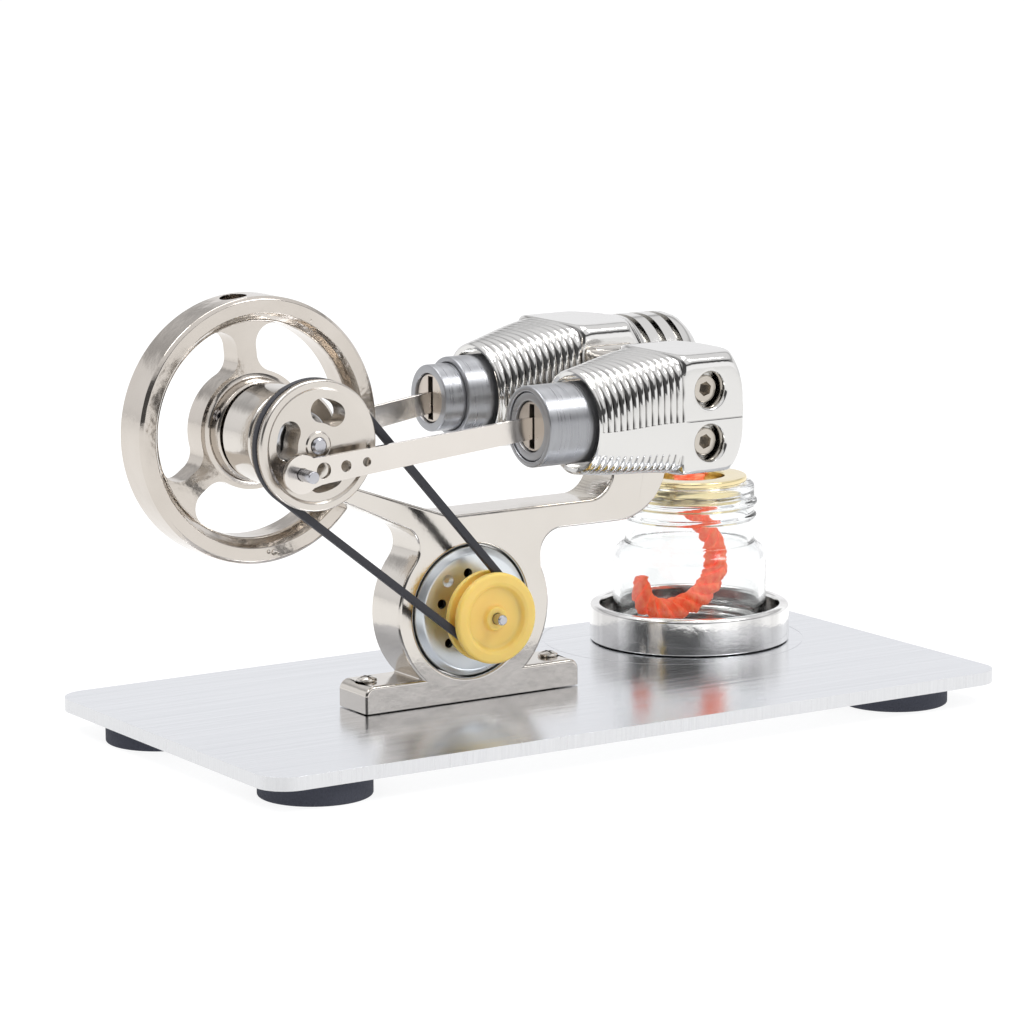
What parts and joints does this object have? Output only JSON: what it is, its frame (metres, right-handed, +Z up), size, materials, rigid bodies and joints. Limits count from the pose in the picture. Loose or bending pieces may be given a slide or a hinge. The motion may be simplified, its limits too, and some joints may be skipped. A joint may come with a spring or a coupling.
{
  "type": "stirling engine model",
  "caption": "Desktop hot-air engine: a polished frame carries a crankshaft with flywheel, parallel cylinders and a belt-driven motor on a flat plate, beside a glass spirit burner with a wick.",
  "frame": {"origin": "centre of the footprint, on the surface that the feet stand on", "axes": "+X along the plate's long side towards the burner, +Y from the crank disc's side towards the flywheel's side, +Z up"},
  "size_m": [0.161, 0.083, 0.0834],
  "materials": {
    "aluminium": "brushed along the long side",
    "nickel": "polished nickel plate on cast metal, slightly wavy",
    "graphite": "dark satin, turned",
    "steel": "polished steel",
    "zinc": "satin zinc-plated steel",
    "yellow_nylon": "moulded, slightly glossy",
    "black_rubber": "matt",
    "foam": "closed-cell foam, matt",
    "brass": "pale, polished",
    "glass": "clear",
    "cotton": "twisted cotton cord",
    "black_plastic": "moulded",
    "magnet": "dark, unfinished"
  },
  "bodies": {
    "base": {"base_plate": "aluminium", "foot_front_left": "foam", "foot_front_right": "foam", "foot_rear_left": "foam", "foot_rear_right": "foam", "engine_frame": "nickel", "frame_screw_left": "nickel", "frame_screw_right": "nickel", "shaft_bearing_front": "steel", "shaft_bearing_rear": "steel", "front_casing": "nickel", "rear_casing": "nickel", "front_cylinder_liner": "graphite", "rear_cylinder_liner": "graphite", "front_end_plug": "nickel", "casing_screw_upper": "steel", "casing_screw_lower": "steel", "motor_can": "zinc", "motor_magnet": "magnet", "motor_end_cap": "black_plastic", "motor_terminal_left": "brass", "motor_terminal_right": "brass", "drive_belt": "black_rubber"},
    "crank": {"main_shaft": "steel", "crank_disc": "nickel", "flywheel": "nickel", "flywheel_set_screw": "steel", "front_crank_pin": "steel", "rear_crank_pin": "steel"},
    "motor_rotor": {"motor_shaft": "steel", "motor_armature": "magnet", "motor_pulley": "yellow_nylon"},
    "front_piston_body": {"front_piston": "graphite", "front_wrist_pin": "steel", "front_rod_seat": "nickel"},
    "front_rod_body": {"front_connecting_rod": "steel", "front_rod_pin": "steel"},
    "rear_piston_body": {"rear_piston": "graphite", "rear_wrist_pin": "steel", "rear_rod_seat": "nickel", "rear_hot_cap": "steel"},
    "rear_rod_body": {"rear_connecting_rod": "steel", "rear_rod_pin": "steel"},
    "burner": {"burner_cup": "nickel"},
    "jar": {"fuel_jar": "glass", "wick": "cotton"},
    "holder": {"wick_holder": "brass"}
  },
  "joints": [
    {"name": "crank_spin", "type": "hinge", "parent": "base", "child": "crank", "pos_m": [-0.0559, 0, 0.05895], "axis": [0, 1, 0], "continuous": true},
    {"name": "motor_spin", "type": "hinge", "parent": "base", "child": "motor_rotor", "pos_m": [-0.01857, 0, 0.02348], "axis": [0, 1, 0], "continuous": true},
    {"name": "front_piston_slide", "type": "slide", "parent": "base", "child": "front_piston_body", "axis": [1, 0, 0], "range_m": [-0.0013, 0.012]},
    {"name": "front_rod_swing", "type": "hinge", "parent": "front_piston_body", "child": "front_rod_body", "pos_m": [-0.00924, -0.019, 0.05895], "axis": [0, 1, 0], "range_deg": [-2.7, 12.1]},
    {"name": "rear_piston_slide", "type": "slide", "parent": "base", "child": "rear_piston_body", "axis": [1, 0, 0], "range_m": [-0.0105, 0.0028]},
    {"name": "rear_rod_swing", "type": "hinge", "parent": "rear_piston_body", "child": "rear_rod_body", "pos_m": [-0.00809, 0.0149, 0.0601], "axis": [0, 1, 0], "range_deg": [-2, 15.5]},
    {"name": "burner_slide", "type": "slide", "parent": "base", "child": "burner", "axis": [1, 0, 0], "range_m": [0, 0.012]},
    {"name": "jar_lift", "type": "slide", "parent": "burner", "child": "jar", "axis": [0, 0, 1], "range_m": [0, 0.008]},
    {"name": "wick_holder_lift", "type": "slide", "parent": "jar", "child": "holder", "axis": [0, 0, 1], "range_m": [0, 0.008]}
  ],
  "couplings": [
    {"joint": "motor_spin", "follows": "crank_spin", "ratio": 1.75}
  ]
}
